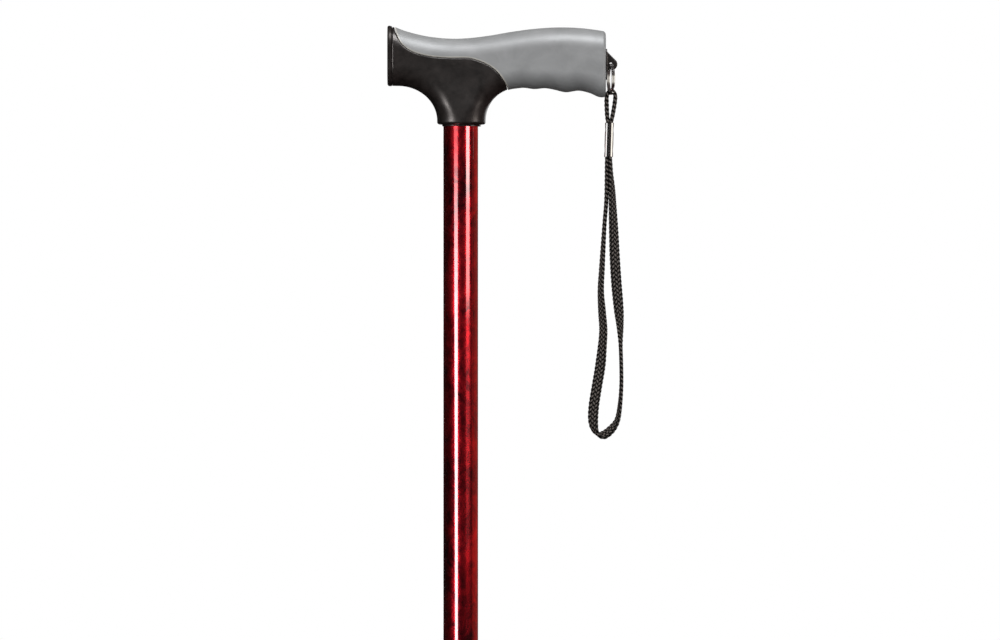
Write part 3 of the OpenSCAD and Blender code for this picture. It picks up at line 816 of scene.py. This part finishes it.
def build_strap():
    """A flat tubular braid: eight yarns wind each way, passing over and under the others."""
    spacing = 0.72
    yarns = 8
    corners = 6
    yarn_half_t, yarn_half_w = 0.34, 0.66
    lay = 23.0
    flatter, narrower = 0.28, 0.24
    place, across, out, length = strap_stations(spacing)
    stations = len(place)
    turns = round(length / lay)
    radius = STRAP_T / 2 - 2 * yarn_half_t
    straight = STRAP_W - 2 * radius - 4 * yarn_half_t
    run = np.arange(stations) / stations * turns
    corner = np.arange(corners) / corners * 2 * math.pi
    points, faces, painted_weave_lights = [], [], []
    # The sleeve presses both strands flatter and narrower.
    gripped = np.exp(-(np.abs(place[:, 2] - SLEEVE_TOP + SLEEVE_L / 2) / (SLEEVE_L / 2 + 1))**6)
    squeeze = 1 - flatter * gripped[:, None]
    narrow = 1 - narrower * gripped[:, None]
    for way in (1, -1):
        for k in range(yarns):
            share = k / yarns + way * run
            u, v, nu, nv = stadium(share, straight, radius)
            lift = way * yarn_half_t * np.cos(math.pi * (yarns * share - 0.25))
            normal = across * nu[:, None] + out * nv[:, None]
            centre = (place + across * u[:, None] * narrow
                      + (out * v[:, None] + normal * lift[:, None]) * squeeze)
            ahead = unit(np.roll(centre, -1, axis=0) - np.roll(centre, 1, axis=0))
            side = unit(np.cross(ahead, normal))
            half_t = (yarn_half_t * np.cos(corner))[None, :, None] * squeeze[:, None]
            half_w = (yarn_half_w * np.sin(corner))[None, :, None]
            rings = centre[:, None, :] + normal[:, None, :] * half_t + side[:, None, :] * half_w
            faces += ring_faces(stations, corners, len(points) * stations * corners, True)
            points.append(rings.reshape(-1, 3))
            # How high each point stands on the weave, kept for the material's painted shade and painted
            # highlight.
            height = lift[:, None] / yarn_half_t + np.cos(corner)[None, :]
            painted_weave_lights.append((0.5 + height / 4).ravel())
    # A thin liner closes the gaps between the yarns; its darkness is painted shade, the darkest step of
    # the weave's painted light.
    liner_u, liner_v = straight / 2 + radius * 0.6, radius * 0.75
    quarter = [(1, 0.5), (0.85, 1)]
    section = quarter + [(-a, b) for a, b in quarter[::-1]]
    section += [(-a, -b) for a, b in section]
    liner = np.stack([
        place + across * a * liner_u * narrow + out * b * liner_v * squeeze for a, b in section
    ], axis=1)
    faces += ring_faces(stations, len(section), len(points) * stations * corners, True)
    points.append(liner.reshape(-1, 3))
    strap = add_mesh("wrist_strap_braid", np.vstack(points) + [0, 0, HANDLE_Z], faces, YARN,
                     None)
    painted_weave_lights.append(np.zeros(stations * len(section)))
    mark(strap, "crown", np.concatenate(painted_weave_lights))
    clean(strap)
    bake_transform(strap)
    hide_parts("wrist_strap")


def build_sleeve():
    """A thin chromed sleeve, folded round both strands, seamed and dented twice by the pliers."""
    wall, lip, lip_share = 0.45, 0.18, 0.006
    dent_deep, dent_half_high, dent_half_wide = 0.42, 1.5, 1.7
    seam_deep, seam_y, seam_half = 0.16, 0.4, 0.22
    half_x = (SLEEVE_HIGH.x - SLEEVE_LOW.x - LEAN) / 2
    half_y = SLEEVE_HIGH.y
    corners, levels = 96, 72
    turn = np.arange(corners) / corners * 2 * math.pi
    grow = np.linspace(0, 1, levels)

    def section(inset):
        power = 3
        c, s = np.cos(turn), np.sin(turn)
        return np.stack([np.sign(c) * np.abs(c)**(2 / power) * (half_x - inset),
                         np.sign(s) * np.abs(s)**(2 / power) * (half_y - inset)], axis=1)

    def wall_rings(inset, order):
        rings = []
        for g in order:
            shape = section(inset)
            z = SLEEVE_TOP - g * SLEEVE_L
            near = sum(math.exp(-((g - at) * SLEEVE_L / dent_half_high)**2) for at in (0.2, 0.8))
            facing = np.clip(shape[:, 0] / half_x, -1, 1)
            pressed = np.exp(-(shape[:, 1] / dent_half_wide)**2) * (np.abs(facing) > 0.5)
            shape[:, 0] -= np.sign(facing) * dent_deep * near * pressed
            seam = np.exp(-((shape[:, 1] - seam_y) / seam_half)**2) * (facing > 0.5)
            shape[:, 0] -= seam_deep * seam
            lean = LEAN * (0.5 - g)
            rings.append(np.column_stack([shape[:, 0] + SLEEVE_X + lean, shape[:, 1],
                                          np.full(corners, z + HANDLE_Z)]))
        return rings

    outer = wall_rings(0, grow)
    inner = wall_rings(wall, grow[::-1])
    end_lip = wall_rings(lip, [1 + lip_share])
    top_lip = wall_rings(lip, [-lip_share])
    rings = np.array(outer + end_lip + inner + top_lip)
    sleeve = sweep("crimp_sleeve_shell", rings, CHROME, "wrist_strap", closed=True)
    clean(sleeve)
    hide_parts("crimp_sleeve")


# ---- Shaft ----


def dress(node, material):
    """A carried-over CAD node keeps its shape and gets its material."""
    slots = frame["nodes"][node].data.materials
    slots.clear()
    slots.append(material)


THREAD_PITCH = 3.0


def build_bush():
    """A ring on the upper tube's end, whose thread below the rim takes the lock collar."""
    rim = 6
    top, end = BUSH_HIGH.z, BUSH_LOW.z
    rim_r = BUSH_HIGH.x
    thread_r, thread_depth = 13.2, 0.45
    bore_r, mouth_r = LOWER_R + 0.3, 12.2
    seat = top - 22
    profile = [[bore_r, seat, 0], [TUBE_R, seat, 0], [TUBE_R, top, 0.3], [rim_r, top, 1.2],
               [rim_r, top - rim, 0.6], [thread_r, top - rim, 0.4]]
    outline = list(rounded_profile(profile))
    levels = np.arange(top - rim - 0.6, end + 0.3, -THREAD_PITCH / 16)
    outline += [np.array([thread_r, z]) for z in levels]
    outline += list(np.array([[thread_r, end + 0.15], [mouth_r, end], [bore_r, end + 3.6]]))

    def thread(r, z, a):
        on = (r > thread_r - 0.2) & (z < top - rim - 0.2)
        turn = a - 2 * math.pi * (z - seat) / THREAD_PITCH
        return np.where(on, r + thread_depth * np.cos(turn), r), z

    bush = lathe("threaded_bush_ring", outline, COLLAR_BLACK, "upper_shaft", 96, thread)
    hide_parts("threaded_bush")


def build_collar():
    """A fluted ring that screws onto the bush, with a plain sleeve below it."""
    flutes = 14
    flute_r = 2.6
    flute_cut = 0.95
    r, top, end = COLLAR_HIGH.x, COLLAR_HIGH.z, COLLAR_LOW.z
    low_r, thread_r, clamp_r, bore_r = r - 1.6, 13.75, 12.3, LOWER_R + 0.35
    sleeve_z, bore_top = end + 10.8, end + 7.3
    corners = [
        [bore_r, end, 0.4], [low_r - 0.5, end, 1.6], [low_r, sleeve_z, 0.8],
        [r, sleeve_z + 3, 0.8], [r, top, 1.3], [thread_r, top, 0.5], [thread_r, sleeve_z + 0.2, 0],
        [clamp_r, sleeve_z, 0], [clamp_r, bore_top, 0], [bore_r, bore_top, 0]
    ]
    coarse = rounded_profile(corners)
    outline = []
    for a, b in zip(coarse, np.roll(coarse, -1, axis=0)):
        n = max(1, int(np.linalg.norm(b - a) / 0.8))
        outline += [a + (b - a) * k / n for k in range(n)]
    middle = r + flute_r - flute_cut

    def flute(rr, zz, a):
        part = 2 * math.pi / flutes
        off = (a + part / 2) % part - part / 2
        reach = np.clip(flute_r**2 - (middle * np.sin(off))**2, 0, None)
        cut = middle * np.cos(off) - np.sqrt(reach)
        cut = np.where(reach > 0, np.minimum(cut, r + 1), r + 1)
        low, high = sleeve_z + 3.6, top - 3
        ends = np.clip((low - zz) / 1.6, 0, 1)**2 + np.clip((zz - high) / 1.6, 0, 1)**2
        cut = cut + ends * 1.4
        outside = rr > thread_r + 0.25
        return np.where(outside, np.minimum(rr, cut), rr), zz

    collar = lathe("lock_collar_grip", outline, COLLAR_BLACK, "lock_collar", 336, flute)
    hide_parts("lock_collar")


def build_tip():
    """A rubber ferrule: ring treads under a wide foot, and a ribbed neck round the lower tube."""
    top, foot_r = TIP_HIGH.z, TIP_HIGH.x
    neck = LOWER_R + 3.8
    groove, land = 1.1, 2.4
    corners = [[0, 0, 0]]
    for a in np.arange(5.5, foot_r - 3, groove + land):
        b = a + groove
        corners += [[a, 0, 0.25], [a, groove, 0.25], [b, groove, 0.25], [b, 0, 0.25]]
    corners += [[foot_r, 0, 1.3], [foot_r, 5.6, 1.2]]
    shoulder_r = foot_r - 1.6
    corners += [
        [shoulder_r - (shoulder_r - neck) * math.sin(t), 6.5 + 12 * (1 - math.cos(t)), 0.8]
        for t in np.radians([0, 20, 40, 60, 76])
    ]
    rib = neck + 0.8
    for z in (20, 27, 34):
        corners += [[neck, z, 0.7], [rib, z + 0.7, 0.6], [rib, z + 2.3, 0.6], [neck, z + 3, 0.7]]
    corners += [[neck, top, 1.5], [LOWER_R, top, 0.4], [LOWER_R, 8, 0], [0, 8, 0]]
    tip = lathe("rubber_tip_ferrule", rounded_profile(corners), RUBBER, "lower_shaft", 144)
    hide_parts("rubber_tip")


# ---- Stage ----

# World brightness: SKY lights matt surfaces, from below to above the front and the back, and
# MIRRORED is what reflections see, from left to right.
SKY = [(0.0, (0.0, 0.0, 0.0)), (0.48, (0.1, 0.1, 0.1)), (1.0, (2.8, 2.8, 2.8))]
MIRRORED = [(0.0, (0.004, 0.004, 0.004)), (0.5, (0.008, 0.007, 0.007)), (1.0, (0.07, 0.03, 0.03))]


def area_light(name, place, target, size, size_y, radiance, lit, colour=(1, 1, 1)):
    """A soft box seen only in reflections, and only on the objects of the collection lit."""
    data = bpy.data.lights.new(name, "AREA")
    data.shape = "RECTANGLE"
    data.size, data.size_y = size, size_y
    data.energy = radiance * math.pi * size * size_y
    data.color = colour
    light = bpy.data.objects.new(name, data)
    bpy.context.scene.collection.objects.link(light)
    light.location = place
    light.rotation_mode = "QUATERNION"
    light.rotation_quaternion = (Vector(place) - Vector(target)).to_track_quat("Z", "Y")
    light.visible_camera = False
    light.visible_diffuse = False
    light.light_linking.receiver_collection = lit


def strip(name, azimuth, width, low, high, radiance, lit, colour=(1, 1, 1)):
    """An upright soft box at an azimuth from the camera's side, between two heights."""
    distance = 1.2
    a = math.radians(azimuth)
    x, y = distance * math.sin(a), -distance * math.cos(a)
    middle = (low + high) / 2
    area_light(name, (x, y, middle), (0, 0, middle), width, high - low, radiance, lit, colour)


def fading_strip(name, azimuth, width, stops, lit, colour=(1, 1, 1), slices=6):
    """Stacked upright soft boxes, whose radiance fades between (height, radiance) stops."""
    for k, ((high, bright), (low, dim)) in enumerate(zip(stops, stops[1:])):
        parts = 1 if bright == dim else slices
        for j in range(parts):
            upper = high + (low - high) * j / parts
            lower = high + (low - high) * (j + 1) / parts
            radiance = bright + (dim - bright) * (j + 0.5) / parts
            strip(f"{name}_{k}_{j}", azimuth, width, lower, upper, radiance, lit, colour)


def lit_collection(name, wanted):
    """A collection of the meshes for which wanted(name) holds, as the receivers of a light."""
    lit = bpy.data.collections.new(name)
    for thing in bpy.context.scene.objects:
        if thing.type == "MESH" and wanted(thing.name):
            lit.objects.link(thing)
    return lit


def build_world():
    """White behind the cane; a soft sky for diffuse light; nearly dark in reflections, as in a tent."""
    world = bpy.data.worlds.new("studio")
    bpy.context.scene.world = world
    world.use_nodes = True
    tree = world.node_tree
    tree.nodes.clear()
    link = tree.links.new
    path = tree.nodes.new("ShaderNodeLightPath")
    split = tree.nodes.new("ShaderNodeSeparateXYZ")
    link(tree.nodes.new("ShaderNodeTexCoord").outputs["Generated"], split.inputs[0])

    def math_node(operation, a, b):
        node = tree.nodes.new("ShaderNodeMath")
        node.operation = operation
        for socket, value in zip(node.inputs, (a, b)):
            if isinstance(value, float):
                socket.default_value = value
            else:
                link(value, socket)
        return node.outputs[0]

    def background(source, low, stops):
        shift = tree.nodes.new("ShaderNodeMapRange")
        shift.inputs["From Min"].default_value = low
        link(source, shift.inputs["Value"])
        ramp = tree.nodes.new("ShaderNodeValToRGB")
        ramp.color_ramp.elements.new(0.5)
        for element, (place, colour) in zip(ramp.color_ramp.elements, stops):
            element.position = place
            element.color = (*colour, 1)
        link(shift.outputs["Result"], ramp.inputs["Fac"])
        node = tree.nodes.new("ShaderNodeBackground")
        link(ramp.outputs["Color"], node.inputs["Color"])
        return node

    forward = math_node("MULTIPLY", math_node("ABSOLUTE", split.outputs["Y"], 0.0), 0.8)
    upward = math_node("MULTIPLY", split.outputs["Z"], 0.6)
    sky = background(math_node("ADD", forward, upward), -0.6, SKY)
    mirrored = background(split.outputs["X"], -1, MIRRORED)
    white = tree.nodes.new("ShaderNodeBackground")
    white.inputs["Color"].default_value = (1, 1, 1, 1)
    inner = tree.nodes.new("ShaderNodeMixShader")
    link(path.outputs["Is Glossy Ray"], inner.inputs["Fac"])
    link(sky.outputs[0], inner.inputs[1])
    link(mirrored.outputs[0], inner.inputs[2])
    outer = tree.nodes.new("ShaderNodeMixShader")
    link(path.outputs["Is Camera Ray"], outer.inputs["Fac"])
    link(inner.outputs[0], outer.inputs[1])
    link(white.outputs[0], outer.inputs[2])
    link(outer.outputs[0], tree.nodes.new("ShaderNodeOutputWorld").inputs["Surface"])


def build_floor():
    """A pale disc under the tip. It follows the lower shaft, so the cane stands on it at any height."""
    bpy.ops.mesh.primitive_circle_add(vertices=96, radius=0.55, fill_type="NGON",
                                      location=(0.02, 0, -0.0004))
    floor = bpy.context.object
    floor.name = "floor"
    m = Nodes("pale_floor")
    m.join(m.ramp(m.noise(30, 3), [(0.3, (0.84, 0.84, 0.84)), (0.7, (0.88, 0.88, 0.88))]),
           m.shader.inputs["Base Color"])
    m.set(Roughness=0.6)
    floor.data.materials.append(m.material)
    floor.visible_diffuse = False
    floor.visible_glossy = False
    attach(floor, "lower_shaft")


def build_camera():
    """A long lens level with the upper part of the cane, so the view is nearly free of perspective."""
    seen_width = 0.638
    distance = 6.0
    aim_x = 0.0251
    below_handle = 0.1247
    data = bpy.data.cameras.new("camera")
    data.sensor_width = 36
    data.lens = data.sensor_width * distance / seen_width
    data.clip_end = 50
    camera = bpy.data.objects.new("camera", data)
    bpy.context.scene.collection.objects.link(camera)
    camera.location = (aim_x, -distance, HANDLE_Z * MM - below_handle)
    camera.rotation_euler = (math.pi / 2, 0, 0)
    bpy.context.scene.camera = camera


def build_lights():
    """Soft boxes round the cane; top is the height of the tube socket's mouth."""
    top = HANDLE_Z * MM
    bottom = -0.8
    handle_parts = ("handle_core_body", "soft_grip_skin", "strap_lug_eye")
    strap_parts = ("split_ring_coil", "crimp_sleeve_shell", "wrist_strap_braid")
    apart = handle_parts + strap_parts
    handle = lit_collection("lit_handle", lambda name: name in handle_parts)
    strap = lit_collection("lit_strap", lambda name: name in strap_parts)
    ring = lit_collection("lit_ring", lambda name: name == "split_ring_coil")
    lower = lit_collection("lit_lower", lambda name: name not in apart)
    shaft = lit_collection("lit_shaft", lambda name: name not in (*apart, "nose_cap_plate"))
    lacquered = lit_collection("lit_lacquer", lambda name: name.startswith("upper_tube"))
    fading_strip("left", -32.5, 0.56, [
        (top + 0.3, 1.3), (top + 0.01, 1.3), (top - 0.035, 5.5), (top - 0.14, 12.5), (bottom, 12.5)
    ], shaft)
    fading_strip("right", 49, 0.5, [
        (top + 0.5, 11.0), (top - 0.015, 11.0), (top - 0.04, 6.2), (top - 0.1, 5.2), (top - 0.128, 0.4),
        (top - 0.3, 0.1)
    ], shaft, (1, 0.74, 0.72))
    strip("right_glow", 118, 1.6, bottom, top + 0.3, 0.5, lacquered, (1, 0.08, 0.06))
    strip("back", 180, 0.3, bottom, top + 0.3, 2.5, shaft)
    strip("handle_left", -50, 0.3, top + 0.01, top + 0.3, 40.0, handle)
    strip("handle_right", 66, 0.5, top - 0.1, top + 0.3, 7.0, handle, (1, 0.93, 0.88))
    strip("handle_back", 160, 0.8, top - 0.2, top + 0.3, 2.0, handle)
    strip("ring_front", 12, 1.2, top - 0.5, top + 0.5, 0.7, ring, (1, 0.95, 0.88))
    strip("strap_left", -75, 1.7, top - 0.5, top + 0.5, 1.4, strap)
    strip("strap_right", 75, 1.6, top - 0.5, top + 0.5, 1.35, strap, (1, 0.98, 0.88))
    strip("strap_back", 180, 1.0, top - 0.5, top + 0.5, 0.3, strap, (1, 0.8, 0.75))
    place = (0.22, -0.5, top + 0.85)
    aim = (0.02, 0, top + 0.02)
    area_light("top_box", place, aim, 0.9, 0.5, 16.0, handle, (0.95, 0.975, 1))
    area_light("lower_top", place, aim, 0.9, 0.6, 5.0, lower)


build_handle()
build_lug()
build_split_ring()
build_strap()
build_sleeve()
dress("upper_tube", LACQUER)
dress("lower_tube", TUBE_METAL)
build_bush()
build_collar()
build_tip()
dress("clamp_ring", ACETAL)
dress("snap_button", STEEL)
dress("button_spring", STEEL)
dress("tip_washer", STEEL)
build_world()
build_floor()
build_camera()
build_lights()
bpy.context.scene.view_settings.view_transform = "Standard"
